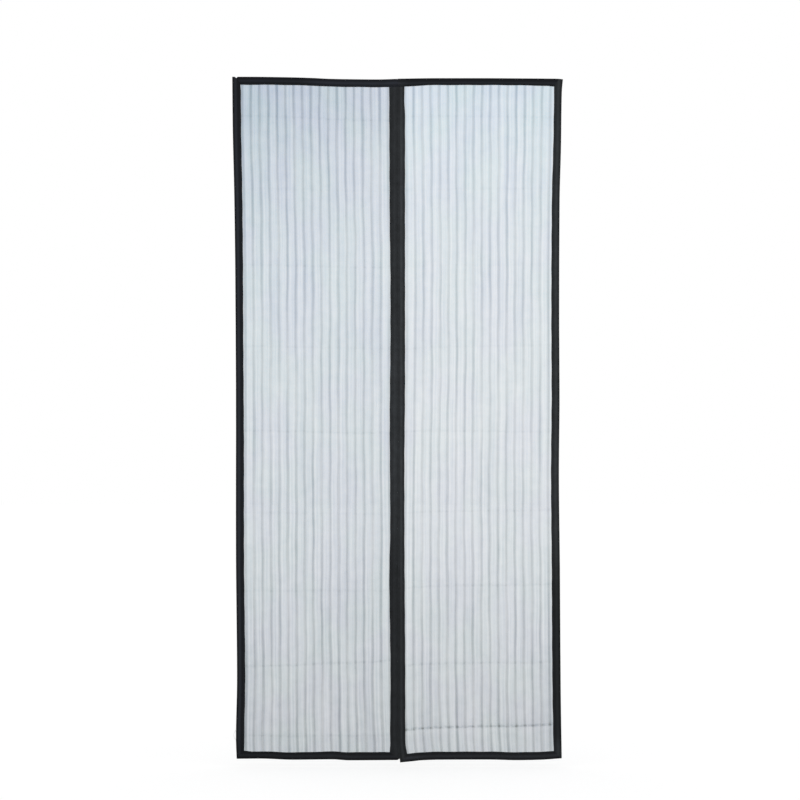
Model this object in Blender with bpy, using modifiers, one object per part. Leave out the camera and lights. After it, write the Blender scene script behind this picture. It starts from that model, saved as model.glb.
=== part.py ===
"""Magnetic door insect screen, hanging as it does in a doorway.

Two panels of ribbed net hang side by side. Each is bound on its four sides in folded tape. The two centre
tapes meet edge to edge and hold pairs of bar magnets, and a patch of tape joins the panels at the top.
Metres, +Z up. The front faces -Y. The origin is the middle of the joining patch's back face, which lies
against the door frame.

Each panel is laid out flat first, with s measured from its centre edge and t down from its top edge.
hang() then gives the place of a flat point in the hanging screen, whose edges stray a little.
"""

import math

import bmesh
import bpy
import numpy as np
from mathutils import Euler, Vector

# One panel, flat
PANEL_WIDTH = 0.500
PANEL_HEIGHT = 2.100
PANEL_GAP = 0.0003
CLEARANCE = 0.0003

# Binding tape, folded in half over the edge of the net
TAPE_WIDTH = 0.023
TAPE_THICKNESS = 0.0006
TAPE_CROWN = 0.0007
CORNER_LAP = 0.012
FOLD_FACETS = 4
STATION_STEP = 0.060

# Net, with its denser ribs
NET_THICKNESS = 0.0005
NET_TUCK = 0.004
RIB_PITCH = 0.0261
RIB_START = 0.026
RIB_WIDTH = 0.005
RIB_HEIGHT = 0.0007

# Bar magnets in the centre tapes
MAGNET_COUNT = 13
MAGNET_LENGTH = 0.050
MAGNET_WIDTH = 0.008
MAGNET_THICKNESS = 0.002
MAGNET_EDGE = 0.0003
MAGNET_INSET = 0.0025
MAGNET_SEAM = 0.0015
FIRST_MAGNET = 0.085
LAST_MAGNET = 0.107
FLARE_MARGIN = 0.0064

# Patch of tape that joins the panels, on the back
PATCH_WIDTH = 0.042
PATCH_HEIGHT = 0.040
PATCH_SEAT = 0.002

# Creases left by the folded packing: the first from the top edge, the rest in steps of CREASE_PITCH
FIRST_CREASE = 0.118
CREASE_PITCH = 0.238
CREASE_STEPS = (0.0, 0.95, 1.93, 2.97, 4.07, 5.10, 6.09, 7.05, 8.01)
CREASE_DEPTH = 0.005
FLAT_HEM = 0.030

# How far each edge strays outwards or upwards, as (share along the edge, share of EDGE_STRAY).
# Side edges run from top to bottom, and top and bottom edges run from the centre outwards.
# The centre edges stray only below the last magnets, which hold them straight.
EDGE_STRAY = 0.010
FLARE_START = PANEL_HEIGHT - (LAST_MAGNET - MAGNET_LENGTH / 2 - FLARE_MARGIN)
LEFT_INNER = ((0.0, 0.0), (FLARE_START / PANEL_HEIGHT, 0.0), (1.0, -0.26))
LEFT_OUTER = (
    (0.0, 0.74), (0.07, 0.60), (0.18, 0.04), (0.29, -0.22), (0.47, -0.42),
    (0.69, -0.46), (0.88, -0.76), (0.97, -0.39), (1.0, -0.60),
)
LEFT_TOP = (
    (0.0, -0.25), (0.12, -0.42), (0.30, -0.34), (0.42, -0.22), (0.50, 0.0),
    (0.61, 0.19), (0.72, 0.30), (0.90, 0.40), (1.0, 0.40),
)
LEFT_BOTTOM = ((0.0, -0.10), (0.30, -0.19), (0.40, 0.10), (0.65, 0.0), (0.85, 0.34), (1.0, 0.28))
RIGHT_INNER = ((0.0, 0.0), (FLARE_START / PANEL_HEIGHT, 0.0), (1.0, 0.85))
RIGHT_OUTER = (
    (0.0, 0.93), (0.02, 0.60), (0.10, 0.34), (0.18, -0.08), (0.35, -0.20),
    (0.47, -0.09), (0.58, -0.27), (0.73, 0.04), (0.89, 0.28), (1.0, 0.73),
)
RIGHT_TOP = ((0.0, -0.19), (0.25, -0.03), (0.50, -0.03), (0.80, -0.12), (0.96, -0.19), (1.0, -0.37))
RIGHT_BOTTOM = (
    (0.0, -0.85), (0.08, -0.46), (0.13, -0.19), (0.24, 0.0), (0.55, 0.04),
    (0.72, -0.15), (0.86, -0.03), (1.0, 0.43),
)

# Colours, linear
NET_COLOUR = (0.60, 0.67, 0.74, 1.0)
TAPE_COLOUR = (0.016, 0.018, 0.021, 1.0)
MAGNET_COLOUR = (0.05, 0.045, 0.042, 1.0)

# Depth: y runs from the front, below zero, to the back face of the patch at zero
TAPE_BACK = -CLEARANCE - TAPE_THICKNESS
SLOT_BACK = TAPE_BACK - TAPE_THICKNESS
NET_BACK = SLOT_BACK - CLEARANCE
NET_SLOT = NET_THICKNESS + RIB_HEIGHT + 2 * CLEARANCE
MAGNET_SLOT = MAGNET_THICKNESS + 2 * CLEARANCE

# Where the net's centre edge lies: past the fold of the tape, the magnet and its seam
CENTRE_TUCK = MAGNET_INSET + MAGNET_WIDTH + MAGNET_SEAM

# How far the top edge stands above the patch's middle, which lies just below the top tape
TOP_EDGE = TAPE_WIDTH + PATCH_SEAT


class Panel:
    """One half of the screen: its name, its side (-1 left, 1 right) and how its edges stray."""

    def __init__(self, name, side, inner, outer, top, bottom):
        self.name = name
        self.side = side
        self.inner = inner
        self.outer = outer
        self.top = top
        self.bottom = bottom


def stray(points, share):
    """How far an edge strays at a share of its length."""
    shares, amounts = zip(*points)
    return EDGE_STRAY * float(np.interp(share, shares, amounts))


def crease_rows():
    """Heights t of the creases that lie clear of the bottom hem."""
    rows = [FIRST_CREASE + step * CREASE_PITCH for step in CREASE_STEPS]
    return [t for t in rows if t < PANEL_HEIGHT - FLAT_HEM - CREASE_PITCH / 8]


def crease_depth(t):
    """How far the panel stands forward at t: the creases fold it to and fro."""
    rows = crease_rows()
    depths = [CREASE_DEPTH * (i % 2) for i in range(len(rows))]
    return float(np.interp(t, rows + [PANEL_HEIGHT - FLAT_HEM], depths + [0.0]))


def hang(panel, s, t, y):
    """The place in the hanging screen of the flat panel's point s, t at depth y."""
    across = s / PANEL_WIDTH
    down = t / PANEL_HEIGHT
    sideways = (1 - across) * stray(panel.inner, down) + across * stray(panel.outer, down)
    upwards = (1 - down) * stray(panel.top, across) + down * stray(panel.bottom, across)
    loose = np.interp(s, (TAPE_WIDTH, PANEL_WIDTH - TAPE_WIDTH), (0.0, 1.0))
    forward = crease_depth(t) * float(loose)
    return Vector((
        panel.side * (s + PANEL_GAP / 2 + sideways),
        y - forward,
        TOP_EDGE - t + upwards,
    ))


def clear_scene():
    for old in list(bpy.data.objects):
        bpy.data.objects.remove(old, do_unlink=True)


def new_material(name, colour, roughness):
    material = bpy.data.materials.new(name)
    material.use_nodes = True
    shader = material.node_tree.nodes["Principled BSDF"]
    shader.inputs["Base Color"].default_value = colour
    shader.inputs["Roughness"].default_value = roughness
    material.diffuse_color = colour
    return material


def new_object(name, mesh, material, parent):
    """Links an object for the mesh into the screen's collection, under its parent."""
    thing = bpy.data.objects.new(name, mesh)
    SCREEN.objects.link(thing)
    thing.parent = parent
    if not mesh.materials:
        mesh.materials.append(material)
    return thing


def new_empty(name, parent=None):
    empty = bpy.data.objects.new(name, None)
    SCREEN.objects.link(empty)
    empty.parent = parent
    return empty


def sheet(name, columns, rows, place, thickness, material, parent):
    """A solid sheet: a grid whose point (column, row) goes to place(column, row), made thick.

    Its first face is one that looks to the front, and the thickness is added on that side.
    """
    shape = bmesh.new()
    bmesh.ops.create_grid(shape, x_segments=columns - 1, y_segments=rows - 1, size=0.5)
    for index, vert in enumerate(shape.verts):
        row, column = divmod(index, columns)
        vert.co = place(column, row)
    shape.normal_update()
    shape.faces.ensure_lookup_table()
    if shape.faces[0].normal.y > 0:
        bmesh.ops.reverse_faces(shape, faces=shape.faces)
    mesh = bpy.data.meshes.new(name)
    shape.to_mesh(mesh)
    shape.free()
    thing = new_object(name, mesh, material, parent)
    wall = thing.modifiers.new("thickness", "SOLIDIFY")
    wall.thickness = thickness
    wall.offset = 1.0
    return thing


def rib_places():
    """Places s of the ribs that fit between the centre seam and the outer edge of the net."""
    last = PANEL_WIDTH - NET_TUCK - RIB_WIDTH
    count = int((last - RIB_START) / RIB_PITCH) + 1
    return [RIB_START + i * RIB_PITCH for i in range(count)]


def add_net(panel, parent):
    """The net: flat between ribs, each rib a small ridge on the front."""
    lanes = [(CENTRE_TUCK, 0.0)]
    for s in rib_places():
        lanes += [(s - RIB_WIDTH / 2, 0.0), (s, RIB_HEIGHT), (s + RIB_WIDTH / 2, 0.0)]
    lanes.append((PANEL_WIDTH - NET_TUCK, 0.0))
    rows = [NET_TUCK] + crease_rows() + [PANEL_HEIGHT - FLAT_HEM, PANEL_HEIGHT - NET_TUCK]

    def place(column, row):
        s, proud = lanes[column]
        return hang(panel, s, rows[row], NET_BACK - proud)

    sheet(panel.name + "_mesh", len(lanes), len(rows), place, NET_THICKNESS, NET, parent)


def tape_section(slot, middle, crown):
    """The tape's inner face as (distance from the panel's edge, depth y), from front lip to back lip.

    The back wall is flat. The front wall rises from its lip to a crown at middle, and bends into the fold.
    """
    front = SLOT_BACK - slot
    lip = SLOT_BACK - NET_SLOT
    radius = slot / 2
    points = [(TAPE_WIDTH, lip), (middle, front - crown), (TAPE_THICKNESS + radius, front)]
    for i in range(1, FOLD_FACETS):
        turn = math.pi * i / FOLD_FACETS
        reach = TAPE_THICKNESS + radius * (1 - math.sin(turn))
        points.append((reach, front + radius * (1 - math.cos(turn))))
    points += [(TAPE_THICKNESS + radius, SLOT_BACK), (TAPE_WIDTH, SLOT_BACK)]
    return points


def add_tape(panel, name, section, stations, place, parent):
    """Folded tape along an edge. stations(w) gives the places along it for the point w from the edge."""
    def put(column, row):
        w, y = section[column]
        s, t = place(w, stations(w)[row])
        return hang(panel, s, t, y)

    full_name = f"{panel.name}_{name}_tape"
    count = len(stations(TAPE_WIDTH))
    sheet(full_name, len(section), count, put, TAPE_THICKNESS, TAPE, parent)


def spaced(start, end):
    """Places from start to end, about STATION_STEP apart, without the two ends."""
    count = max(2, round((end - start) / STATION_STEP))
    return [start + (end - start) * i / count for i in range(1, count)]


def add_tapes(panel, parent):
    plain = tape_section(NET_SLOT, CORNER_LAP, TAPE_CROWN)
    pocket = tape_section(MAGNET_SLOT, CENTRE_TUCK, 0.0)
    creases = crease_rows() + [PANEL_HEIGHT - FLAT_HEM]
    across = spaced(TAPE_WIDTH, PANEL_WIDTH - TAPE_WIDTH)
    mitre_gap = CLEARANCE * math.sqrt(2)

    def lap(w):
        """Height of the outer tape's top end, which laps the corner and then runs down to the inner edge."""
        return TAPE_WIDTH * max(0.0, w - CORNER_LAP) / (TAPE_WIDTH - CORNER_LAP)

    def outer_stations(w):
        return [lap(w)] + creases + [PANEL_HEIGHT - w]

    def centre_stations(w):
        straight = [t for t in creases if t < FLARE_START - STATION_STEP]
        return [TAPE_WIDTH + CLEARANCE] + straight + [FLARE_START, PANEL_HEIGHT - w]

    def top_stations(w):
        seam = CORNER_LAP + (TAPE_WIDTH - CORNER_LAP) * w / TAPE_WIDTH
        return [0.0] + across + [PANEL_WIDTH - seam - mitre_gap]

    def bottom_stations(w):
        return [w + mitre_gap] + across + [PANEL_WIDTH - w - mitre_gap]

    add_tape(panel, "outer", plain, outer_stations, lambda w, t: (PANEL_WIDTH - w, t), parent)
    add_tape(panel, "centre", pocket, centre_stations, lambda w, t: (w, t), parent)
    add_tape(panel, "top", plain, top_stations, lambda w, s: (s, w), parent)
    add_tape(panel, "bottom", plain, bottom_stations, lambda w, s: (s, PANEL_HEIGHT - w), parent)


def magnet_mesh():
    """A flat bar with slightly broken edges, upright."""
    shape = bmesh.new()
    bmesh.ops.create_cube(shape, size=1.0)
    size = (MAGNET_WIDTH, MAGNET_THICKNESS, MAGNET_LENGTH)
    bmesh.ops.scale(shape, vec=size, verts=shape.verts)
    bmesh.ops.bevel(shape, geom=shape.edges[:], offset=MAGNET_EDGE, segments=1, affect="EDGES")
    mesh = bpy.data.meshes.new("magnet")
    shape.to_mesh(mesh)
    shape.free()
    return mesh


def add_magnets(panel, mesh, parent):
    """Bar magnets down the pocket, each lying in line with its tape."""
    span = PANEL_HEIGHT - LAST_MAGNET - FIRST_MAGNET
    s = MAGNET_INSET + MAGNET_WIDTH / 2
    y = SLOT_BACK - MAGNET_SLOT / 2
    for i in range(MAGNET_COUNT):
        t = FIRST_MAGNET + span * i / (MAGNET_COUNT - 1)
        magnet = new_object(f"{panel.name}_magnet_{i + 1:02d}", mesh, MAGNET, parent)
        above = hang(panel, s, t - MAGNET_LENGTH / 2, y)
        below = hang(panel, s, t + MAGNET_LENGTH / 2, y)
        magnet.location = (above + below) / 2
        magnet.rotation_euler = Euler((0.0, math.atan2(above.x - below.x, above.z - below.z), 0.0))


def add_joining_patch(parent):
    """The patch lies flat on the backs of the top and centre tapes, astride the middle."""
    bpy.ops.mesh.primitive_cube_add(size=1.0)
    patch = bpy.context.object
    patch.name = "joining_patch"
    for vert in patch.data.vertices:
        vert.co.x *= PATCH_WIDTH
        vert.co.y *= TAPE_THICKNESS
        vert.co.z *= PATCH_HEIGHT
    patch.location = (0.0, -TAPE_THICKNESS / 2, 0.0)
    for collection in patch.users_collection:
        collection.objects.unlink(patch)
    SCREEN.objects.link(patch)
    patch.parent = parent
    patch.data.materials.append(TAPE)


clear_scene()
SCREEN = bpy.data.collections.new("door_insect_screen")
bpy.context.scene.collection.children.link(SCREEN)

NET = new_material("net", NET_COLOUR, 0.85)
TAPE = new_material("black_tape", TAPE_COLOUR, 0.80)
MAGNET = new_material("magnet", MAGNET_COLOUR, 0.55)

PANELS = (
    Panel("left", -1, LEFT_INNER, LEFT_OUTER, LEFT_TOP, LEFT_BOTTOM),
    Panel("right", 1, RIGHT_INNER, RIGHT_OUTER, RIGHT_TOP, RIGHT_BOTTOM),
)

header = new_empty("header")
bar = magnet_mesh()
for half in PANELS:
    carrier = new_empty(half.name + "_panel", header)
    add_net(half, carrier)
    add_tapes(half, carrier)
    add_magnets(half, bar, carrier)
add_joining_patch(header)
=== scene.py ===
"""The looks of the magnetic door insect screen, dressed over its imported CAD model.

Each panel's net and its four strips of binding tape are made again as cloth. A panel is laid out flat, with
s measured from its centre edge and t down from its top edge, and hang() gives a flat point its place in the
hanging screen. Metres, +Z up. The front faces -Y, and the back of the joining patch lies at y = 0.
"""

import math

import bmesh
import bpy
import numpy as np
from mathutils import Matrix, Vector


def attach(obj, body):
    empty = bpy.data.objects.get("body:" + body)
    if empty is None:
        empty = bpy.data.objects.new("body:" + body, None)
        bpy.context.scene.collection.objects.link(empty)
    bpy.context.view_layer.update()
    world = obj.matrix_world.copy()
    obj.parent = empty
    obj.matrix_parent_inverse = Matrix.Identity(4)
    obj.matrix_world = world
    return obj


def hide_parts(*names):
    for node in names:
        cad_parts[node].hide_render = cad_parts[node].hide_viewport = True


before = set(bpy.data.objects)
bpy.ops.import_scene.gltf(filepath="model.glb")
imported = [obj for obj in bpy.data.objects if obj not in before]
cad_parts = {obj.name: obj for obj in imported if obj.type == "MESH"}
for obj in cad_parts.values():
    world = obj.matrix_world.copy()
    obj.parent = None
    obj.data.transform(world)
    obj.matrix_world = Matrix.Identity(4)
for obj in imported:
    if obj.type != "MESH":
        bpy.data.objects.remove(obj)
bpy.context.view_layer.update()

# One panel, flat, as in the CAD model, but with tapes pressed 1.5 mm wider
PANEL_WIDTH = 0.500
PANEL_HEIGHT = 2.100
PANEL_GAP = 0.0003
TOP_EDGE = 0.025
CLEARANCE = 0.0003
TAPE_WIDTH = 0.0245
TAPE_THICKNESS = 0.0006
TAPE_CROWN = 0.0007
CORNER_LAP = 0.012
CENTRE_TUCK = 0.012
NET_TUCK = 0.004
RIB_COUNT = 18
RIB_HEIGHT = 0.0007
MAGNET_COUNT = 13
MAGNET_LENGTH = 0.050
FIRST_MAGNET = 0.085
LAST_MAGNET = 0.107
PATCH_SIZE = (0.042, 0.040)

# Depths y: the tapes' back faces, the inside of their back walls and of their front walls, and the net
TAPE_BACK = -0.0009
SLOT_BACK = -0.0015
LIP_FRONT = -0.0033
POCKET_FRONT = -0.0041
NET_FRONT = -0.0023

# Sewing
STITCH_PITCH = 0.0034
STITCH_LENGTH = 0.0027
THREAD_WIDTH = 0.0005
SEAM_INSET = 0.0026

# The loop of loose thread: where it leaves the tape, how much of the tape it spans and how far it stands out
LOOP_START = 2.010
LOOP_SPAN = 0.034
LOOP_REACH = 0.0080
LOOP_RINGS = 19
LOOP_SIDES = 6

# How far the creases fold the panels forward by turns, and where the bottom hem is flat again
CREASE_DEPTH = 0.005
FLAT_HEM = 0.030

# How far an edge strays where its share is 1, and the share of the height where the parting starts to open
EDGE_STRAY = 0.010
FLARE_START = 0.964

# The left panel: how far its foot swings from the parting, how far the corner there is drawn up, and the
# depth of the notch at its top, where the top tape ends
LEFT_FLARE = 0.0085
LEFT_CORNER_LIFT = 0.0055
LEFT_CORNER_WIDTH = 0.0065
TOP_NOTCH = 0.0045

# Cloth, finer than the solids: the wales and courses of the net, the warp and weft of the tape
KNIT_PITCH = 0.0015
WARP_PITCH = 0.0009
WEFT_PITCH = 0.0011

THREAD_COLOUR = (0.030, 0.032, 0.036, 1.0)
FERRITE_COLOUR = (0.050, 0.045, 0.042, 1.0)
TAPE_BACK_COLOUR = (0.018, 0.020, 0.023, 1.0)
WHITE = (1.0, 1.0, 1.0, 1.0)

# Studio. The floor shows half its own shade and half its glow, which is white with the shadow kept.
FLOOR_LEVEL = -2.096
FLOOR_GLOW = 1.38
GLOW_SHARE = 0.5
WORLD_LIGHT = 0.74
LIGHTS_AIM = (0.0, 0.0, -0.95)


class Panel:
    """One half of the screen. side is -1 for the left and 1 for the right.

    inner, outer, top and bottom: how the edges stray, as (share along the edge, share of EDGE_STRAY).
    lips: how far each strip's inner lip stands from its place, as (metres along the strip, metres).
    ribs: where the first rib stands, and how far apart they are.
    drift: how far the ribs by the centre stand from that, as (t, metres).
    creases: the height t, how far it drops at the centre edge and at the outer edge, and how dark it shows,
    from bunched net and painted shade.
    coverage: the share of the net that thread covers, as (share of the height, share covered). Its rise
    towards the top and the foot is painted shade.
    gain: painted shade, how much more of the net is covered at the outer edge than at the centre edge, near
    the top.
    sky: the colour of the thread near the top, a painted cool light.
    """

    def __init__(
        self, name, side, inner, outer, top, bottom, lips, ribs, drift, creases, coverage_and_shade, gain, lit_top_thread,
    ):
        self.name = name
        self.side = side
        self.inner = inner
        self.outer = outer
        self.top = top
        self.bottom = bottom
        self.lips = lips
        self.ribs = ribs
        self.drift = drift
        self.creases = creases
        self.coverage_and_shade = coverage_and_shade
        self.gain = gain
        self.lit_top_thread = lit_top_thread


# The magnets hold the centre edges straight, and hang() opens the left one at the foot.
LEFT = Panel(
    "left", -1,
    inner=((0.0, 0.0), (0.5, 0.0), (1.0, 0.0)),
    outer=(
        (0.0, 0.96), (0.07, 0.82), (0.18, 0.29), (0.29, 0.03), (0.47, -0.19),
        (0.69, -0.19), (0.88, -0.54), (0.97, -0.19), (1.0, -0.40),
    ),
    top=(
        (0.0, -0.25), (0.12, -0.42), (0.30, -0.34), (0.42, -0.22), (0.50, 0.0),
        (0.61, 0.19), (0.72, 0.30), (0.90, 0.40), (1.0, 0.40),
    ),
    bottom=((0.0, -0.10), (0.30, -0.19), (0.40, 0.10), (0.65, 0.0), (0.85, 0.34), (1.0, 0.28)),
    lips={
        "outer": (
            (0.10, 0.0013), (0.45, 0.0001), (0.84, -0.0007), (1.20, 0.0005), (1.76, 0.0009), (2.00, 0.0015),
        ),
        "centre": (
            (0.07, 0.0008), (0.45, -0.0003), (0.62, -0.0023), (0.78, -0.0023), (1.07, 0.0),
            (1.38, -0.0015), (1.53, 0.0012), (1.69, -0.0006), (1.84, -0.0023), (2.00, -0.0013),
        ),
        "top": ((0.04, -0.0003), (0.20, -0.0005), (0.40, -0.0003), (0.47, 0.0009)),
        "bottom": ((0.04, 0.0009), (0.20, 0.0001), (0.30, -0.0015), (0.45, -0.0024)),
    },
    ribs=(0.0267, 0.0261),
    drift=(
        (0.0, 0.0019), (0.17, 0.0017), (0.41, 0.0008), (0.53, -0.0018), (0.87, -0.0001),
        (1.18, -0.0004), (1.39, -0.0021), (1.64, -0.0007), (1.89, -0.0026), (2.05, -0.0087),
    ),
    creases=(
        (0.118, 0.010, 0.002, 0.025), (0.344, -0.001, 0.002, 0.015), (0.577, 0.003, 0.002, 0.022),
        (0.829, 0.000, 0.001, 0.022), (1.090, 0.001, 0.000, 0.032), (1.340, 0.000, 0.002, 0.014),
        (1.577, -0.002, 0.007, 0.022), (1.796, -0.004, 0.022, 0.044), (2.024, -0.002, 0.006, 0.026),
    ),
    coverage_and_shade=(
        (0.0, 0.495), (0.036, 0.480), (0.12, 0.405), (0.28, 0.350), (0.49, 0.350), (0.68, 0.384),
        (0.84, 0.438), (0.959, 0.475), (0.964, 0.494), (1.0, 0.496),
    ),
    gain=0.11,
    lit_top_thread=(0.100, 0.245, 0.405),
)
RIGHT = Panel(
    "right", 1,
    inner=((0.0, 0.0), (FLARE_START, 0.0), (1.0, 0.76)),
    outer=(
        (0.0, 0.90), (0.02, 0.56), (0.10, 0.30), (0.18, -0.13), (0.35, -0.26),
        (0.47, -0.15), (0.58, -0.33), (0.73, -0.02), (0.89, 0.20), (1.0, 0.55),
    ),
    top=((0.0, -0.19), (0.25, -0.03), (0.50, -0.03), (0.80, -0.12), (0.96, -0.19), (1.0, -0.37)),
    bottom=(
        (0.0, -0.85), (0.08, -0.46), (0.13, -0.19), (0.24, 0.0), (0.55, 0.04),
        (0.72, -0.15), (0.86, -0.03), (1.0, 0.43),
    ),
    lips={
        "outer": (
            (0.10, -0.0012), (0.25, -0.0006), (0.60, -0.0001), (1.15, 0.0002), (1.80, 0.0011), (2.00, 0.0005),
        ),
        "centre": (
            (0.07, -0.0042), (0.12, -0.0021), (0.90, -0.0017), (1.20, -0.0037), (1.40, -0.0036),
            (1.60, -0.0027), (1.84, -0.0013), (2.00, -0.0012),
        ),
        "top": ((0.03, 0.0004), (0.10, -0.0030), (0.35, -0.0032), (0.45, -0.0019)),
        "bottom": ((0.04, 0.0001), (0.45, 0.0002)),
    },
    ribs=(0.0246, 0.02595),
    drift=(
        (0.0, -0.0031), (0.17, -0.0012), (0.25, 0.0008), (0.41, 0.0036), (0.53, 0.0046), (0.87, 0.0039),
        (1.02, 0.0012), (1.18, -0.0003), (1.39, -0.0021), (1.75, -0.0025), (1.95, -0.0006), (2.05, 0.0019),
    ),
    creases=(
        (0.118, -0.002, 0.002, 0.020), (0.341, 0.003, -0.003, 0.018), (0.577, 0.000, -0.003, 0.012),
        (0.825, 0.007, -0.005, 0.020), (1.087, -0.002, 0.003, 0.028), (1.332, 0.004, -0.002, 0.026),
        (1.563, 0.004, -0.004, 0.036), (1.801, 0.005, -0.003, 0.040), (1.9965, 0.007, -0.005, 0.130),
    ),
    coverage_and_shade=(
        (0.0, 0.385), (0.036, 0.350), (0.12, 0.312), (0.28, 0.290), (0.49, 0.290), (0.68, 0.339),
        (0.84, 0.409), (0.95, 0.456), (1.0, 0.470),
    ),
    gain=0.0,
    lit_top_thread=(0.095, 0.320, 0.500),
)


def curve(points, shares):
    """A smooth line through (share, amount) points that never swings past them."""
    x, y = np.array(points, float).T
    step = np.diff(y) / np.diff(x)
    before, after = step[:-1], step[1:]
    level = before * after <= 0
    slope = np.concatenate([
        step[:1],
        np.where(level, 0.0, 2 * before * after / np.where(level, 1.0, before + after)),
        step[-1:],
    ])
    i = np.clip(np.searchsorted(x, shares) - 1, 0, len(x) - 2)
    wide = x[i + 1] - x[i]
    u = np.clip((shares - x[i]) / wide, 0.0, 1.0)
    start = (1 + 2 * u) * (1 - u) ** 2 * y[i] + u * (1 - u) ** 2 * wide * slope[i]
    end = u * u * (3 - 2 * u) * y[i + 1] - u * u * (1 - u) * wide * slope[i + 1]
    return start + end


def eased(value, low, high):
    """0 below low, 1 above high, and a smooth step between."""
    u = np.clip((value - low) / (high - low), 0.0, 1.0)
    return u * u * (3 - 2 * u)


def fold_depth(panel, t):
    """How far the creases set the panel forward at t."""
    rows = [crease[0] for crease in panel.creases] + [PANEL_HEIGHT - FLAT_HEM]
    depths = [CREASE_DEPTH * (i % 2) for i in range(len(panel.creases))] + [0.0]
    return np.interp(t, rows, depths)


def slack(panel, s, t):
    """Shallow waves of the cloth between its tapes, forwards."""
    turn = 2 * math.pi
    long_wave = 0.0011 * np.sin(turn * (t / 0.43 + s / 0.95) + 1.7 * panel.side)
    short_wave = 0.0006 * np.sin(turn * (t / 0.17 - s / 0.29) + 0.6 * panel.side)
    return (long_wave + short_wave) * eased(t, 0.02, 0.2) * eased(PANEL_HEIGHT - t, 0.02, 0.2)


def sway(panel, s, t):
    """How far the ribs wander sideways, outwards. The tapes hold them at both sides."""
    turn = 2 * math.pi
    wander = 0.0007 * np.sin(turn * (t / 0.37 + s / 0.23) + panel.side)
    wander += 0.0005 * np.sin(turn * (t / 0.15 - s / 0.11) + 2.0 * panel.side)
    return wander * eased(s, TAPE_WIDTH, 0.08) * eased(PANEL_WIDTH - s, TAPE_WIDTH, 0.07)


def hang(panel, s, t, y):
    """The places in the hanging screen of the flat points s, t at depth y, in one array (..., 3)."""
    s, t, y = np.broadcast_arrays(s, t, y)
    across = s / PANEL_WIDTH
    down = t / PANEL_HEIGHT
    sideways = (1 - across) * curve(panel.inner, down) + across * curve(panel.outer, down)
    upwards = (1 - down) * curve(panel.top, across) + down * curve(panel.bottom, across)
    loose = np.clip((s - TAPE_WIDTH) / (PANEL_WIDTH - 2 * TAPE_WIDTH), 0.0, 1.0)
    forward = (fold_depth(panel, t) + slack(panel, s, t)) * loose
    x = s + PANEL_GAP / 2 + EDGE_STRAY * sideways + sway(panel, s, t)
    z = TOP_EDGE - t + EDGE_STRAY * upwards
    if panel is LEFT:
        flare = np.clip((down - FLARE_START) / (1 - FLARE_START), 0.0, 0.92)
        x = x - LEFT_FLARE * flare * (1 - np.clip(s / TAPE_WIDTH, 0.0, 1.0))
        corner = (1 - np.clip(s / LEFT_CORNER_WIDTH, 0.0, 1.0)) * eased(t, 2.080, PANEL_HEIGHT)
        z = z + LEFT_CORNER_LIFT * corner
        notch = np.exp(-(((s - PANEL_WIDTH + CORNER_LAP) / 0.0024) ** 2) - (t / 0.006) ** 2)
        z = z - TOP_NOTCH * notch
    return np.stack([panel.side * x, y - forward, z], -1)


def new_piece(name, mesh, material):
    """A piece of the screen from its mesh, moving with the screen."""
    mesh.materials.append(material)
    piece = bpy.data.objects.new(name, mesh)
    bpy.context.scene.collection.objects.link(piece)
    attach(piece, "root")
    return piece


def quads_of(rows, columns):
    """The faces of a grid whose points are numbered row by row."""
    index = np.arange(rows * columns).reshape(rows, columns)
    corners = (index[:-1, :-1], index[:-1, 1:], index[1:, 1:], index[1:, :-1])
    return np.stack(corners, -1).reshape(-1, 4)


def rim_of(rows, columns):
    """The numbers of the points round the edge of such a grid, back to the first."""
    index = np.arange(rows * columns).reshape(rows, columns)
    return np.concatenate([index[0], index[1:, -1], index[-1, -2::-1], index[-2::-1, 0]])


def add_map(mesh, name, points):
    """A UV map that gives each vertex its point."""
    corners = np.empty(len(mesh.loops), np.int32)
    mesh.loops.foreach_get("vertex_index", corners)
    layer = mesh.uv_layers.new(name=name)
    layer.uv.foreach_set("vector", points.reshape(-1, 2)[corners].astype(np.float32).ravel())


def cloth_mesh(name, places, faces, flats, sharp=None):
    """A smooth mesh with its flat coordinates, in metres, as the UV map "flat"."""
    mesh = bpy.data.meshes.new(name)
    mesh.from_pydata(places.reshape(-1, 3).tolist(), [], faces)
    shape = bmesh.new()
    shape.from_mesh(mesh)
    bmesh.ops.recalc_face_normals(shape, faces=shape.faces)
    shape.to_mesh(mesh)
    shape.free()
    add_map(mesh, "flat", flats)
    mesh.polygons.foreach_set("use_smooth", [True] * len(mesh.polygons))
    if sharp is not None:
        mesh.set_sharp_from_angle(angle=sharp)
    return mesh


def slab_mesh(name, outer, inner, flats):
    """A thin solid between two grids of places, (rows, columns, 3) each, which share their flat points."""
    rows, columns = outer.shape[:2]
    count = rows * columns
    skin = quads_of(rows, columns)
    rim = rim_of(rows, columns)
    band = np.stack([rim[:-1], rim[1:], rim[1:] + count, rim[:-1] + count], -1)
    faces = np.concatenate([skin, skin[:, ::-1] + count, band]).tolist()
    places = np.concatenate([outer.reshape(-1, 3), inner.reshape(-1, 3)])
    both = np.concatenate([flats.reshape(-1, 2), flats.reshape(-1, 2)])
    return cloth_mesh(name, places, faces, both, sharp=math.radians(50))


# Materials

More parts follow.
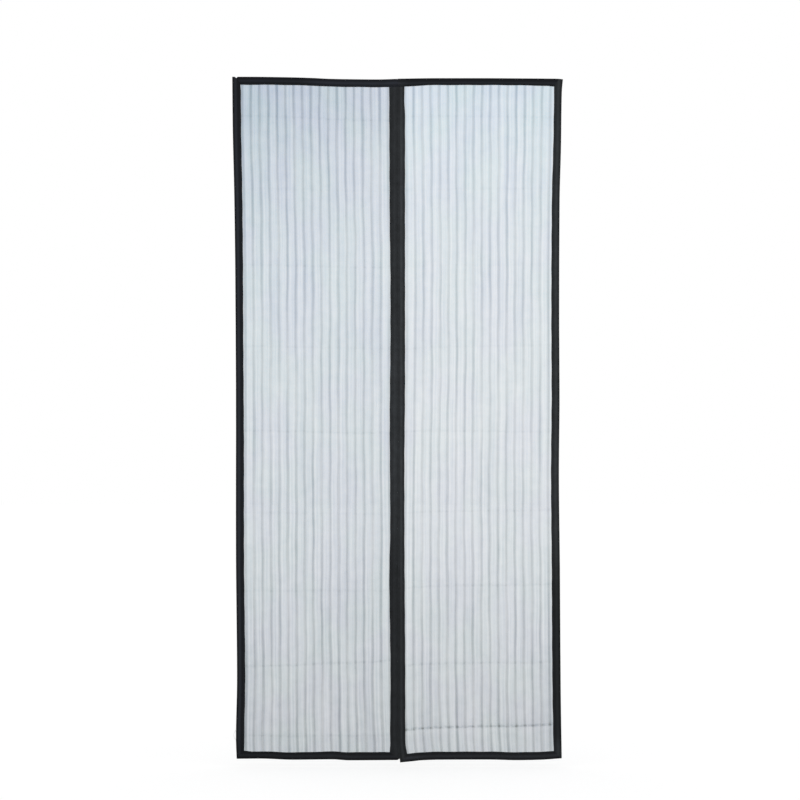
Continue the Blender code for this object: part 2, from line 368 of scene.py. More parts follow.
class Tree:
    """A material's nodes, with short calls that add a node and join its inputs."""

    def __init__(self, name):
        self.material = bpy.data.materials.new(name)
        self.material.use_nodes = True
        self.nodes = self.material.node_tree.nodes
        self.shader = self.nodes["Principled BSDF"]

    def feed(self, socket, value):
        if isinstance(value, bpy.types.NodeSocket):
            self.material.node_tree.links.new(value, socket)
        else:
            socket.default_value = value

    def add(self, kind, inputs=None, **settings):
        node = self.nodes.new("ShaderNode" + kind)
        for key, value in settings.items():
            setattr(node, key, value)
        for key, value in (inputs or {}).items():
            self.feed(node.inputs[key], value)
        return node

    def math(self, operation, *values):
        return self.add("Math", dict(enumerate(values)), operation=operation).outputs[0]

    def sum(self, first, *rest):
        for value in rest:
            first = self.math("ADD", first, value)
        return first

    def stretch(self, flat, across, down):
        """The flat coordinates scaled by each amount, for patterns that run along the cloth."""
        inputs = {0: flat, 1: (across, down, 1.0)}
        return self.add("VectorMath", inputs, operation="MULTIPLY").outputs[0]

    def wave(self, value, length, size):
        """A sine of that wavelength and height."""
        turns = self.math("MULTIPLY", value, 2 * math.pi / length)
        return self.math("MULTIPLY", self.math("SINE", turns), size)

    def step(self, value, low, high, start=0.0, end=1.0):
        """A smooth step from start at low to end at high."""
        inputs = {"Value": value, "From Min": low, "From Max": high, "To Min": start, "To Max": end}
        return self.add("MapRange", inputs, interpolation_type="SMOOTHSTEP").outputs["Result"]

    def noise(self, vector, scale, detail, size=1.0):
        """Noise about zero, up to about size / 2 each way."""
        made = self.add("TexNoise", {"Vector": vector, "Scale": scale, "Detail": detail})
        return self.math("MULTIPLY", self.math("SUBTRACT", made.outputs["Fac"], 0.5), size)

    def ramp(self, value, stops):
        """A colour ramp through (place, colour) stops, or through (place, number) stops."""
        node = self.add("ValToRGB", {"Fac": value})
        elements = node.color_ramp.elements
        while len(elements) < len(stops):
            elements.new(0.5)
        for element, (place, shade) in zip(elements, stops):
            element.position = place
        for element, (place, shade) in zip(elements, stops):
            grey = not hasattr(shade, "__len__")
            element.color = (shade, shade, shade, 1.0) if grey else (*shade, 1.0)
        return node.outputs["Color"]

    def mix(self, factor, first, second, blend="MIX"):
        node = self.add("Mix", data_type="RGBA", blend_type=blend)
        self.feed(node.inputs[0], factor)
        self.feed(node.inputs[6], first)
        self.feed(node.inputs[7], second)
        return node.outputs[2]

    def flat(self):
        """The flat coordinates: the vector and its two parts."""
        vector = self.add("UVMap", uv_map="flat").outputs["UV"]
        parts = self.add("SeparateXYZ", {"Vector": vector}).outputs
        return vector, parts["X"], parts["Y"]

    def bump(self, height, distance):
        node = self.add("Bump", {"Height": height, "Distance": distance, "Strength": 1.0})
        self.feed(self.shader.inputs["Normal"], node.outputs["Normal"])


def net_material(panel):
    """Fine knitted net: see-through between denser ribs, darker along the creases from bunched net and
    painted shade, with painted light and shade down its height.
    """
    tree = Tree(panel.name + "_net")
    flat, s, t = tree.flat()
    down = tree.math("DIVIDE", t, PANEL_HEIGHT)

    # phase runs from -0.5 to 0.5 across each rib and half the lanes beside it
    rib_start, rib_pitch = panel.ribs
    ribs = tree.math("DIVIDE", tree.math("SUBTRACT", s, rib_start), rib_pitch)
    turn = tree.math("FRACT", tree.math("ADD", ribs, 0.5))
    phase = tree.math("MULTIPLY", tree.math("SUBTRACT", turn, 0.5), float(panel.side))
    rib = tree.step(tree.math("ABSOLUTE", phase), 0.03, 0.27, 1.0, 0.0)
    # A painted highlight: the lane just to the right of each rib, seen from the front, is drawn less covered
    # and so lighter.
    beside = tree.step(tree.math("ABSOLUTE", tree.math("SUBTRACT", phase, 0.31)), 0.0, 0.16, 1.0, 0.0)

    streaks = tree.noise(tree.stretch(flat, 170.0, 2.2), 1.0, 2.0, 0.27)
    patches = tree.noise(flat, 34.0, 2.0, 0.10)
    clouds = tree.noise(flat, 7.0, 2.0, 0.06)
    wales = tree.wave(s, KNIT_PITCH, 0.06)
    courses = tree.wave(t, KNIT_PITCH, 0.04)

    # Creases show in broken lines, most where they cross a rib: bunched net and painted shade
    crease = tree.add("Attribute", attribute_name="crease").outputs["Fac"]
    broken = tree.step(tree.noise(flat, 90.0, 1.0), -0.12, 0.10, 0.35, 1.0)
    crossing = tree.math("MULTIPLY_ADD", rib, 0.5, 0.7)
    crease = tree.math("MULTIPLY", tree.math("MULTIPLY", crease, broken), crossing)

    # Thread cover: ribs of uneven strength with a painted highlight beside each, painted shade down the
    # height, and more painted shade outwards near the top and at the outer foot
    uneven = tree.math("ADD", 0.185, tree.noise(tree.stretch(flat, 31.0, 2.6), 1.0, 1.0, 0.32))
    outwards = tree.math("SUBTRACT", tree.math("DIVIDE", s, PANEL_WIDTH), 0.5)
    gain = tree.math("MULTIPLY", outwards, tree.step(t, 0.10, 1.00, panel.gain, 0.0))
    # Painted shade at the outer foot.
    foot = tree.math("MULTIPLY", tree.step(s, 0.38, 0.48, 0.0, 0.055), tree.step(t, 1.65, 2.00))
    net_cover_and_shade = tree.sum(
        tree.ramp(down, panel.coverage_and_shade),
        tree.math("MULTIPLY", rib, uneven),
        tree.math("MULTIPLY", beside, -0.014),
        gain, foot, streaks, patches, clouds, wales, courses, crease,
    )
    tree.feed(tree.shader.inputs["Alpha"], tree.math("MINIMUM", tree.math("MAXIMUM", net_cover_and_shade, 0.05), 0.95))

    # Thread colour: a painted cool light near the top that dims towards the foot, in two faint tints, and
    # greyer in the ribs and creases
    thread = tree.ramp(down, (
        (0.03, panel.lit_top_thread), (0.28, (0.088, 0.255, 0.400)),
        (0.60, (0.080, 0.205, 0.320)), (0.95, (0.083, 0.160, 0.225)),
    ))
    tone = tree.step(tree.noise(tree.stretch(flat, 8.0, 5.0), 1.0, 2.0), -0.15, 0.15)
    tint = tree.mix(tone, (1.07, 0.91, 1.04, 1.0), (0.93, 1.08, 0.95, 1.0))
    thread = tree.mix(1.0, thread, tint, "MULTIPLY")
    grey = tree.mix(tree.step(t, 0.0, 0.55), (0.140, 0.140, 0.120, 1.0), (0.230, 0.222, 0.200, 1.0))
    greyed = tree.math("MULTIPLY_ADD", crease, 1.2, tree.math("MULTIPLY", rib, 0.38))
    tree.feed(tree.shader.inputs["Base Color"], tree.mix(greyed, thread, grey))
    tree.shader.inputs["Roughness"].default_value = 0.85
    tree.shader.inputs["Specular IOR Level"].default_value = 0.15

    knit = tree.math("MULTIPLY", tree.wave(s, KNIT_PITCH, 1.0), tree.wave(t, KNIT_PITCH, 1.0))
    tree.bump(tree.sum(knit, tree.math("MULTIPLY", streaks, 20.0)), 0.00006)
    return tree.material


def tape_material(name, colour, crown, painted_crest, fold, painted_light_along):
    """Matt woven binding tape. Its flat coordinates run across the strip from the front lip, and along it.

    crown is where the lighter crest runs, crest how much lighter it is drawn as a painted highlight, and fold
    how much lighter the folded edge is drawn, painted light for the centre strips and painted shade where it
    is below 0. fade is painted light and shade along its length, as (share of PANEL_HEIGHT, factor).
    """
    tree = Tree(name)
    flat, across, along = tree.flat()
    warp = tree.wave(across, WARP_PITCH, 1.0)
    weft = tree.wave(along, WEFT_PITCH, 1.0)
    weave = tree.math("MULTIPLY", warp, weft)
    lint = tree.noise(flat, 420.0, 3.0)
    wear = tree.noise(flat, 38.0, 3.0)
    # A painted highlight along the crown of the strip.
    ridge = tree.step(tree.math("ABSOLUTE", tree.math("SUBTRACT", across, crown)), 0.0, 0.0070, 1.0, 0.0)
    lip = tree.step(across, 0.0, 0.0012, 0.25, 0.0)
    # The folded edge: painted light for the centre strips, painted shade for the others.
    bend = tree.math("ABSOLUTE", tree.math("SUBTRACT", across, TAPE_WIDTH + 0.001))
    bend = tree.step(bend, 0.0015, 0.0055, fold, 0.0)
    shade = tree.sum(
        0.75,
        tree.math("MULTIPLY", weave, 0.14),
        tree.math("MULTIPLY", lint, 0.7),
        tree.math("MULTIPLY", ridge, painted_crest),
        wear, lip, bend,
    )
    # Painted light and shade along the strip's length.
    shade = tree.math("MULTIPLY", shade, tree.ramp(tree.math("DIVIDE", along, PANEL_HEIGHT), painted_light_along))
    shade = tree.math("MAXIMUM", shade, 0.25)
    back = tree.step(across, TAPE_WIDTH + 0.003, TAPE_WIDTH + 0.006)
    black = tree.mix(back, (*colour, 1.0), TAPE_BACK_COLOUR)
    tree.feed(tree.shader.inputs["Base Color"], tree.mix(1.0, black, shade, "MULTIPLY"))
    tree.feed(tree.shader.inputs["Roughness"], tree.step(wear, -0.2, 0.2, 0.72, 0.90))
    tree.shader.inputs["Specular IOR Level"].default_value = 0.10
    tree.shader.inputs["Sheen Weight"].default_value = 0.015
    tree.shader.inputs["Sheen Roughness"].default_value = 0.5
    seam = tree.math("ABSOLUTE", tree.math("SUBTRACT", across, SEAM_INSET))
    pull = tree.step(seam, 0.0002, 0.0014, -2.0, 0.0)
    tree.bump(tree.sum(weave, tree.math("MULTIPLY", lint, 2.0), pull), 0.00012)
    return tree.material


def thread_material():
    """Twisted polyester sewing thread."""
    tree = Tree("sewing_thread")
    place = tree.add("TexCoord").outputs["Object"]
    twist = tree.noise(place, 2500.0, 1.0)
    shade = tree.math("ADD", 1.0, tree.math("MULTIPLY", twist, 0.9))
    tree.feed(tree.shader.inputs["Base Color"], tree.mix(1.0, THREAD_COLOUR, shade, "MULTIPLY"))
    tree.shader.inputs["Roughness"].default_value = 0.55
    tree.shader.inputs["Specular IOR Level"].default_value = 0.25
    tree.bump(twist, 0.0001)
    return tree.material


def magnet_material():
    """Rubber-bonded ferrite, matt and slightly mottled."""
    tree = Tree("ferrite")
    place = tree.add("TexCoord").outputs["Object"]
    grain = tree.noise(place, 900.0, 3.0)
    stain = tree.noise(place, 60.0, 2.0)
    shade = tree.sum(1.0, tree.math("MULTIPLY", grain, 0.8), tree.math("MULTIPLY", stain, 0.7))
    colour = tree.mix(1.0, FERRITE_COLOUR, shade, "MULTIPLY")
    tree.feed(tree.shader.inputs["Base Color"], colour)
    tree.feed(tree.shader.inputs["Roughness"], tree.step(stain, -0.2, 0.2, 0.45, 0.70))
    tree.bump(grain, 0.0001)
    return tree.material


# Net

def crease_drop(panel, s, t):
    """How far the lines of the net at height t slope down at s, to follow the nearest creases."""
    rows = [0.0] + [crease[0] for crease in panel.creases] + [PANEL_HEIGHT]
    inner = np.interp(t, rows, [0.0] + [crease[1] for crease in panel.creases] + [0.0])
    outer = np.interp(t, rows, [0.0] + [crease[2] for crease in panel.creases] + [0.0])
    across = s / PANEL_WIDTH
    return inner * (1 - across) + outer * across


def add_net(panel):
    """The net: one sheet with its ribs standing out, its lanes sagging a little between them."""
    # Columns: the tucked edge, close over each rib and wider over its lane, and the outer edge
    rib_start, rib_pitch = panel.ribs
    offsets = np.array([-0.0034, -0.0019, -0.0009, 0.0, 0.0009, 0.0019, 0.0034, 0.0083, 0.0131, 0.0179])
    columns = (rib_start + rib_pitch * np.arange(RIB_COUNT)[:, None] + offsets).ravel()
    columns = np.concatenate([[CENTRE_TUCK, 0.018], columns])
    edge = PANEL_WIDTH - NET_TUCK
    columns = np.concatenate([columns[columns < edge - 0.004], [edge]])

    # Rows: even, but close over each crease
    near = np.array([0.0012, 0.0025, 0.0045, 0.0066, 0.0100])
    near = np.concatenate([-near[::-1], [0.0], near])
    heights = np.array([crease[0] for crease in panel.creases])
    rows = np.arange(NET_TUCK, PANEL_HEIGHT - NET_TUCK, 0.012)
    rows = rows[np.abs(rows[:, None] - heights).min(1) > 0.014]
    rows = np.sort(np.concatenate([rows, (heights[:, None] + near).ravel(), [PANEL_HEIGHT - NET_TUCK]]))

    line, place = np.meshgrid(rows, columns, indexing="ij")
    t = line + crease_drop(panel, place, line)
    tucked = eased(place, CENTRE_TUCK, TAPE_WIDTH) * (1 - np.clip(place / PANEL_WIDTH, 0.0, 1.0))
    s = place + curve(panel.drift, t) * tucked
    beside = (place - rib_start + rib_pitch / 2) % rib_pitch - rib_pitch / 2
    ridge = RIB_HEIGHT * np.exp(-((beside / 0.0017) ** 2))
    bare = eased(s, TAPE_WIDTH, 0.035) * eased(PANEL_WIDTH - s, TAPE_WIDTH, 0.035)
    sag = 0.0006 * np.sin(math.pi * (beside / rib_pitch)) ** 2 * bare

    # Each crease is a small pleat. It shows darkest at its line, for bunched net and painted shade, with
    # painted shade above the line and a painted highlight below it where it is strong.
    pleat = np.zeros_like(s)
    dark = np.zeros_like(s)
    for height, _, _, strength in panel.creases:
        below = line - height
        pleat += 0.0004 * np.exp(-((below / 0.003) ** 2)) * bare
        shade = 0.75 * np.exp(-((below / 0.0045) ** 2)) + 0.25 * np.exp(np.minimum(below, 0.0) / 0.009)
        shade = np.where(below < 0, shade, np.exp(-((below / 0.0035) ** 2)))
        light = 0.25 * max(strength - 0.035, 0.0) * np.exp(-(((below - 0.0085) / 0.003) ** 2))
        dark += 2 * (strength * shade - light)

    places = hang(panel, s, t, NET_FRONT - ridge - pleat + sag)
    flats = np.stack([place, t], -1)
    mesh = cloth_mesh(panel.name + "_net", places, quads_of(*s.shape).tolist(), flats)
    across = (place - CENTRE_TUCK) / (edge - CENTRE_TUCK)
    up = (rows[-1] - line) / (rows[-1] - rows[0])
    add_map(mesh, "OFBake", np.stack([across, up], -1))
    mesh.attributes.new("crease", "FLOAT", "POINT").data.foreach_set("value", dark.astype(np.float32).ravel())
    if mesh.polygons[0].normal.y > 0:
        mesh.flip_normals()
    net = new_piece(panel.name + "_net", mesh, net_material(panel))
    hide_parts(panel.name + "_mesh")
    return net


# Binding tape

def magnet_swell(t):
    """1 over the magnets and less between them, where the pocket is drawn in."""
    pitch = (PANEL_HEIGHT - LAST_MAGNET - FIRST_MAGNET) / (MAGNET_COUNT - 1)
    away = np.abs((t - FIRST_MAGNET + pitch / 2) % pitch - pitch / 2)
    inside = (t > FIRST_MAGNET - pitch / 2) & (t < PANEL_HEIGHT - LAST_MAGNET + pitch / 2)
    return np.where(inside, 1 - eased(away, MAGNET_LENGTH / 2, MAGNET_LENGTH / 2 + 0.016), 0.0)


def tape_path(pocket):
    """The strip's inner face, from the front lip over the fold to the back lip: distance w and a mark.

    The mark is 1 on the front wall, 0 on the back wall, and falls from one to the other round the fold.
    """
    radius = 0.0013 if pocket else 0.0009
    turn = np.linspace(0.0, math.pi, 9)[1:-1]
    front = np.array([
        TAPE_WIDTH, 0.0235, 0.0215, 0.0192, 0.0165, 0.0140, 0.0120, 0.0100, 0.0080, 0.0055, 0.0035,
    ])
    start = TAPE_THICKNESS + radius
    bend = start - (radius + 0.0004 * pocket) * np.sin(turn)
    w = np.concatenate([front, [start], bend, [start, 0.0080, 0.0150, 0.0210, TAPE_WIDTH]])
    mark = np.concatenate([np.ones(len(front) + 1), (1 + np.cos(turn)) / 2, np.zeros(5)])
    return w, mark


def tape_depth(w, mark, pocket, swell, pucker):
    """Depth y of the inner face. The front wall is crowned, and it is drawn down along the seam."""
    if pocket:
        front = POCKET_FRONT + 0.0006 * (1 - swell)
        crowned = front + (LIP_FRONT - front) * eased(w, CENTRE_TUCK, 0.0195)
        crowned = crowned - 0.0003 * np.exp(-(((w - 0.0095) / 0.003) ** 2))
    else:
        crowned = LIP_FRONT - TAPE_CROWN * np.sin(math.pi * np.clip(w / TAPE_WIDTH, 0, 1)) ** 1.5
    seam = TAPE_WIDTH - SEAM_INSET
    crowned = crowned + 0.0002 * np.exp(-(((w - seam) / 0.0012) ** 2)) - pucker
    return SLOT_BACK + (crowned - SLOT_BACK) * mark


def strip_point(panel, name, w, along):
    """The flat point at distance w from a strip's folded edge, where its inner lip wanders as it was sewn."""
    length = PANEL_HEIGHT if name in ("outer", "centre") else PANEL_WIDTH
    lip = curve(panel.lips[name], along) + 0.0003 * np.sin(2 * math.pi * along / 0.09 + len(name))
    lip = lip * eased(length - along, TAPE_WIDTH, 0.05)
    if name != "centre":
        lip = lip * eased(along, TAPE_WIDTH, 0.05)
    w = w + lip * np.clip((w - CENTRE_TUCK) / (TAPE_WIDTH - CENTRE_TUCK), 0.0, 1.0)
    if name == "outer":
        return PANEL_WIDTH - w, along
    if name == "centre":
        return w, along
    if name == "top":
        return along, w
    return along, PANEL_HEIGHT - w


def add_tape(panel, name, spans, material):
    """One folded strip. spans(w) is its start and end at distance w from its folded edge."""
    pocket = name == "centre"
    w, mark = tape_path(pocket)
    start, end = spans(w)
    length = max(end - start)
    near_end = np.array([0.0, 0.0012, 0.0025, 0.0040, 0.0060, 0.0085, 0.0120])
    middle = np.linspace(0.018, length - 0.018, int(length / 0.008))
    share = np.concatenate([near_end, middle, length - near_end[::-1]])[:, None] / length
    along = start + (end - start) * share
    pucker = 0.00012 * np.sin(2 * math.pi * along / 0.021 + 3 * np.sin(along * 9)) * eased(w, 0.004, 0.016)
    swell = magnet_swell(along)
    inner_y = tape_depth(w, mark, pocket, swell, pucker)

    path = np.stack([np.broadcast_to(w, inner_y.shape), inner_y], -1)
    tangent = np.gradient(path, axis=1)
    normal = np.stack([tangent[..., 1], -tangent[..., 0]], -1)
    normal /= np.linalg.norm(normal, axis=-1, keepdims=True)
    normal *= np.sign(normal[:, :1, 1:]) * -1
    outer_path = path + TAPE_THICKNESS * normal
    outer_path[..., 0] = np.maximum(outer_path[..., 0], -PANEL_GAP / 2 if pocket else 0.0)

    def spread(points):
        s, t = strip_point(panel, name, points[..., 0], along)
        return hang(panel, s, t, points[..., 1])

    reach = np.concatenate([[0.0], np.cumsum(np.linalg.norm(np.diff(outer_path[0], axis=0), axis=1))])
    flats = np.stack([np.broadcast_to(reach, along.shape), along], -1)
    full_name = f"{panel.name}_{name}_binding"
    mesh = slab_mesh(full_name, spread(outer_path), spread(path), flats)
    piece = new_piece(full_name, mesh, material)
    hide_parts(f"{panel.name}_{name}_tape")
    return piece


def add_tapes(panel, materials):
    """The four strips round a panel, meeting at its corners as in the CAD model."""
    def lap(w):
        return TAPE_WIDTH * np.maximum(0.0, w - CORNER_LAP) / (TAPE_WIDTH - CORNER_LAP)

    def outer(w):
        return lap(w), PANEL_HEIGHT - w

    def centre(w):
        return np.full_like(w, TAPE_WIDTH + CLEARANCE), PANEL_HEIGHT - w

    def top(w):
        return np.zeros_like(w), PANEL_WIDTH - CORNER_LAP - (TAPE_WIDTH - CORNER_LAP) * w / TAPE_WIDTH

    def bottom(w):
        return w, PANEL_WIDTH - w

    return [
        add_tape(panel, name, spans, materials[f"{panel.name}_{name}"])
        for name, spans in (("outer", outer), ("centre", centre), ("top", top), ("bottom", bottom))
    ]


# Sewing

def stitches(panel, name, w, y, start, end):
    """The two ends of each stitch in a row at distance w from a strip's edge, in the hanging screen."""
    middles = np.arange(start + STITCH_PITCH, end - STITCH_PITCH, STITCH_PITCH)
    ends = []
    for offset in (-STITCH_LENGTH / 2, STITCH_LENGTH / 2):
        s, t = strip_point(panel, name, w, middles + offset)
        ends.append(hang(panel, s, t, y))
    return np.stack(ends, 1)


def stitch_mesh(name, ends, outward):
    """A little spindle of thread between each pair of ends, standing out along outward."""
    first, last = ends[:, 0], ends[:, 1]
    along = last - first
    across = np.cross(along, outward)
    across *= THREAD_WIDTH / 2 / np.linalg.norm(across, axis=1, keepdims=True)
    up = np.asarray(outward) * THREAD_WIDTH * 0.45
    low, high = first + along * 0.22 + up * 0.6, first + along * 0.78 + up * 0.6
    rings = [first]
    for middle in (low, high):
        rings += [middle + across, middle + up, middle - across, middle - up]
    rings.append(last)
    places = np.stack(rings, 1)
    pattern = [(0, 1, 2), (0, 2, 3), (0, 3, 4), (0, 4, 1), (9, 6, 5), (9, 7, 6), (9, 8, 7), (9, 5, 8)]
    sides = [(1, 5, 6, 2), (2, 6, 7, 3), (3, 7, 8, 4), (4, 8, 5, 1)]
    faces = [[10 * i + k for k in face] for i in range(len(ends)) for face in pattern + sides]
    mesh = bpy.data.meshes.new(name)
    mesh.from_pydata(places.reshape(-1, 3).tolist(), [], faces)
    mesh.polygons.foreach_set("use_smooth", [True] * len(mesh.polygons))
    return mesh


def add_sewing(panel, material):
    """Rows of stitches along every inner lip, front and back, and beside the magnets."""
    seam = TAPE_WIDTH - SEAM_INSET
    inset = seam + 0.002
    lip_face = LIP_FRONT - TAPE_THICKNESS + 0.00015
    pocket_face = POCKET_FRONT - TAPE_THICKNESS + 0.0001
    pieces = []
    for word, y, pocket, outward in (
        ("front", lip_face, pocket_face, (0.0, -1.0, 0.0)),
        ("back", TAPE_BACK, TAPE_BACK, (0.0, 1.0, 0.0)),
    ):
        rows = [
            stitches(panel, "outer", seam, y, TAPE_WIDTH, PANEL_HEIGHT - inset),
            stitches(panel, "centre", seam, y, TAPE_WIDTH, PANEL_HEIGHT - inset),
            stitches(panel, "top", seam, y, 0.002, PANEL_WIDTH - inset),
            stitches(panel, "bottom", seam, y, inset, PANEL_WIDTH - inset),
            stitches(panel, "centre", CENTRE_TUCK, pocket, TAPE_WIDTH + 0.004, PANEL_HEIGHT - inset),
        ]
        name = f"{panel.name}_{word}_stitching"
        mesh = stitch_mesh(name, np.concatenate(rows), outward)
        pieces.append(new_piece(name, mesh, material))
    return pieces


def add_loose_thread(panel, material):
    """A loop of thread that has come loose from the outer tape near its foot."""
    turn = np.linspace(0.0, math.pi, LOOP_RINGS)
    s = PANEL_WIDTH - 0.0010 + LOOP_REACH * np.sin(turn)
    t = LOOP_START + LOOP_SPAN * turn / math.pi
    line = hang(panel, s, t, -0.0040 - 0.0030 * np.sin(2 * turn))
    along = np.gradient(line, axis=0)
    along /= np.linalg.norm(along, axis=1, keepdims=True)
    first = np.cross(along, (0.0, 1.0, 0.0))
    second = np.cross(along, first)
    round_it = np.linspace(0.0, 2 * math.pi, LOOP_SIDES + 1)[:-1, None]
    ring = first[:, None] * np.cos(round_it) + second[:, None] * np.sin(round_it)
    places = line[:, None] + ring * THREAD_WIDTH / 2
    number = np.arange(LOOP_RINGS * LOOP_SIDES).reshape(LOOP_RINGS, LOOP_SIDES)
    following = np.roll(number, -1, axis=1)
    sides = np.stack([number[:-1], following[:-1], following[1:], number[1:]], -1).reshape(-1, 4).tolist()
    ends = [number[0].tolist(), number[-1, ::-1].tolist()]
    flats = np.stack([s, t], -1).repeat(LOOP_SIDES, axis=0)
    mesh = cloth_mesh(panel.name + "_loose_thread", places, sides + ends, flats)
    return new_piece(panel.name + "_loose_thread", mesh, material)


def add_patch(tape, thread):
    """The joining patch on the back, with a square of stitches and its two diagonals."""
    wide, tall = PATCH_SIZE
    columns, rows = np.linspace(-wide / 2, wide / 2, 29), np.linspace(-tall / 2, tall / 2, 27)
    x, z = np.meshgrid(columns, rows, indexing="ij")
    fray = 1 - 0.006 * (1 + np.sin(x * 900) * np.sin(z * 1100))
    edge = np.maximum(np.abs(x) / (wide / 2), np.abs(z) / (tall / 2))
    round_off = 0.00018 * eased(edge, 0.86, 1.0)
    back = np.stack([x * fray, -round_off, z * fray], -1)
    front = np.stack([x * fray, -TAPE_THICKNESS + round_off * 0.4, z * fray], -1)
    mesh = slab_mesh("joining_patch_cloth", back, front, np.stack([x + wide, z], -1))
    patch = new_piece("joining_patch_cloth", mesh, tape)
    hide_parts("joining_patch")

    inset = 0.004
    right, top = wide / 2 - inset, tall / 2 - inset
    corners = [(-right, -top), (right, -top), (right, top), (-right, top), (-right, -top), (right, top)]
    ends = []
    lines = list(zip(corners, corners[1:])) + [((right, -top), (-right, top))]
    for (x0, z0), (x1, z1) in lines:
        count = int(math.dist((x0, z0), (x1, z1)) / STITCH_PITCH)
        for i in range(count):
            pair = []
            for share in ((i + 0.1) / count, (i + 0.9) / count):
                pair.append((x0 + (x1 - x0) * share, -0.0001, z0 + (z1 - z0) * share))
            ends.append(pair)
    mesh = stitch_mesh("patch_stitching", np.array(ends), (0.0, 1.0, 0.0))
    return [patch, new_piece("patch_stitching", mesh, thread)]


# Studio

def seen_rays(nodes, links):
    """1 for the rays that show the background: the camera's own, in gloss and through glass. Otherwise 0."""
    path = nodes.new("ShaderNodeLightPath")
    seen = path.outputs["Is Camera Ray"]
    for word in ("Is Glossy Ray", "Is Transmission Ray"):
        either = nodes.new("ShaderNodeMath")
        either.operation = "MAXIMUM"
        links.new(seen, either.inputs[0])
        links.new(path.outputs[word], either.inputs[1])
        seen = either.outputs[0]
    return seen


def add_stage():
    """A plain pale floor just below the hem, which shows white but keeps a soft shadow.

    Returns the collection of what the softboxes leave out, which is the floor.
    """
    bpy.ops.mesh.primitive_plane_add(size=60.0, location=(0.0, 0.0, FLOOR_LEVEL))
    floor = bpy.context.object
    floor.name = "floor"
    material = bpy.data.materials.new("floor")
    material.use_nodes = True
    nodes, links = material.node_tree.nodes, material.node_tree.links
    shader = nodes["Principled BSDF"]
    shader.inputs["Base Color"].default_value = (0.86, 0.86, 0.86, 1.0)
    shader.inputs["Roughness"].default_value = 0.9
    shader.inputs["Specular IOR Level"].default_value = 0.1
    glow = nodes.new("ShaderNodeEmission")
    glow.inputs["Color"].default_value = WHITE
    glow.inputs["Strength"].default_value = FLOOR_GLOW
    share = nodes.new("ShaderNodeMath")
    share.operation = "MULTIPLY"
    share.inputs[1].default_value = GLOW_SHARE
    links.new(seen_rays(nodes, links), share.inputs[0])
    blend = nodes.new("ShaderNodeMixShader")
    links.new(share.outputs[0], blend.inputs[0])
    links.new(shader.outputs[0], blend.inputs[1])
    links.new(glow.outputs[0], blend.inputs[2])
    links.new(blend.outputs[0], nodes["Material Output"].inputs["Surface"])
    floor.data.materials.append(material)
    spared = bpy.data.collections.new("spared")
    spared.objects.link(floor)
    spared.collection_objects[0].light_linking.link_state = "EXCLUDE"
    return spared


def add_world():
    """Soft light from all round, and plain white behind the screen for the camera."""
    world = bpy.data.worlds.new("studio")
    bpy.context.scene.world = world
    world.use_nodes = True
    nodes, links = world.node_tree.nodes, world.node_tree.links
    dim = nodes["Background"]
    dim.inputs["Color"].default_value = WHITE
    dim.inputs["Strength"].default_value = WORLD_LIGHT
    white = nodes.new("ShaderNodeBackground")
    white.inputs["Color"].default_value = WHITE
    white.inputs["Strength"].default_value = 1.0
    blend = nodes.new("ShaderNodeMixShader")
    links.new(seen_rays(nodes, links), blend.inputs[0])
    links.new(dim.outputs[0], blend.inputs[1])
    links.new(white.outputs[0], blend.inputs[2])
    links.new(blend.outputs[0], nodes["World Output"].inputs["Surface"])


def add_softbox(name, location, size, power, spared):
    """A square soft light aimed at the screen, which leaves the spared objects to the light of the world."""
    light = bpy.data.lights.new(name, "AREA")
    light.shape = "SQUARE"
    light.size = size
    light.energy = power
    lamp = bpy.data.objects.new(name, light)
    bpy.context.scene.collection.objects.link(lamp)
    lamp.location = location
    aim = Vector(LIGHTS_AIM) - lamp.location
    lamp.rotation_euler = aim.to_track_quat("-Z", "Y").to_euler()
    lamp.light_linking.receiver_collection = spared


def add_camera():
    """Straight in front, far off with a long lens, as the photograph was taken.

    field is how wide a stretch it shows where the screen hangs. sensor is in millimetres.
    """
    field, distance, sensor = 2.465, 12.0, 36.0
    middle_x, middle_z = 0.0072, -0.9668
    data = bpy.data.cameras.new("camera")
    data.sensor_width = sensor
    data.lens = sensor * distance / field
    data.clip_end = 60.0
    camera = bpy.data.objects.new("camera", data)
    bpy.context.scene.collection.objects.link(camera)
    camera.location = (middle_x, -distance, middle_z)
    camera.rotation_euler = (math.radians(90.0), 0.0, 0.0)
    bpy.context.scene.camera = camera


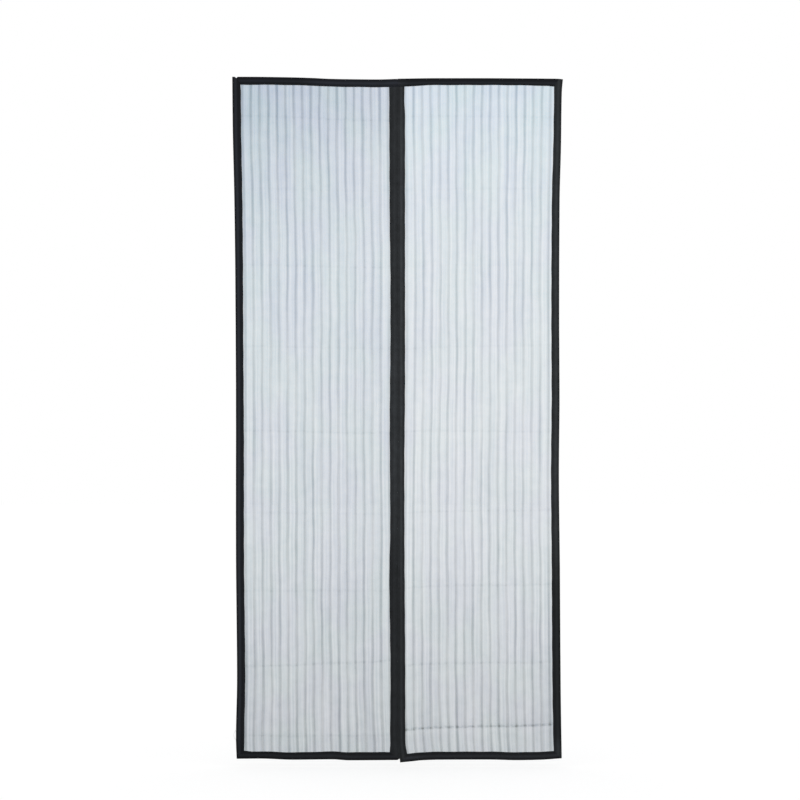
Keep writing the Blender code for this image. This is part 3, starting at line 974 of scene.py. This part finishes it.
# Each strip lay in its own light, so each has its own black.
TAPES = {
    "left_outer": tape_material(
        "tape_left", (0.0115, 0.0130, 0.0165), 0.0150, 1.10, -0.35,
        ((0.03, 0.80), (0.15, 1.0), (0.75, 1.0), (0.90, 0.85), (0.965, 0.85), (0.985, 0.60)),
    ),
    "right_outer": tape_material(
        "tape_right", (0.0255, 0.0285, 0.0310), 0.0135, 0.50, -0.30,
        ((0.0, 0.90), (0.1, 1.0), (0.68, 1.0), (0.76, 0.55), (0.965, 0.50), (0.985, 0.85)),
    ),
    "left_centre": tape_material(
        "tape_left_centre", (0.0280, 0.0310, 0.0340), 0.0150, 0.25, 0.15,
        ((0.0, 0.85), (0.34, 0.92), (0.42, 1.20), (0.63, 1.05), (0.72, 0.68)),
    ),
    "right_centre": tape_material(
        "tape_right_centre", (0.0295, 0.0325, 0.0355), 0.0130, 0.60, 0.10,
        ((0.0, 0.72), (0.08, 1.0), (0.66, 0.92), (0.8, 0.66)),
    ),
    "left_top": tape_material(
        "tape_left_top", (0.0085, 0.0095, 0.0125), 0.0120, 0.80, -0.35,
        ((0.0, 1.75), (0.01, 1.65), (0.02, 1.45), (0.11, 1.45), (0.14, 0.95)),
    ),
    "right_top": tape_material(
        "tape_right_top", (0.0090, 0.0100, 0.0125), 0.0100, 0.80, -0.35,
        ((0.0, 1.60), (0.005, 1.50), (0.017, 1.0)),
    ),
    "left_bottom": tape_material(
        "tape_left_bottom", (0.0100, 0.0110, 0.0130), 0.0130, 1.00, -0.35,
        ((0.0, 0.90), (0.10, 1.0), (0.157, 0.80), (0.216, 0.65)),
    ),
    "right_bottom": tape_material(
        "tape_right_bottom", (0.0115, 0.0125, 0.0145), 0.0130, 1.05, -0.35,
        ((0.0, 1.35), (0.015, 1.30), (0.04, 0.93), (0.11, 1.05), (0.17, 1.0)),
    ),
}
sewing_thread = thread_material()

for half in (LEFT, RIGHT):
    cloth = add_net(half)
    trimmings = add_tapes(half, TAPES) + add_sewing(half, sewing_thread)
    if half is LEFT:
        trimmings += add_patch(TAPES["left_outer"], sewing_thread)
        trimmings.append(add_loose_thread(half, sewing_thread))

ferrite = magnet_material()
for node_name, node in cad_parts.items():
    if "magnet" in node_name:
        for material_slot in node.material_slots:
            material_slot.material = ferrite

spared_floor = add_stage()
add_world()
add_softbox("key", (2.6, -4.6, 0.9), 2.4, 82.0, spared_floor)
add_softbox("fill", (-3.0, -4.4, -0.4), 2.4, 46.0, spared_floor)
add_camera()

bpy.context.scene.view_settings.view_transform = "Standard"
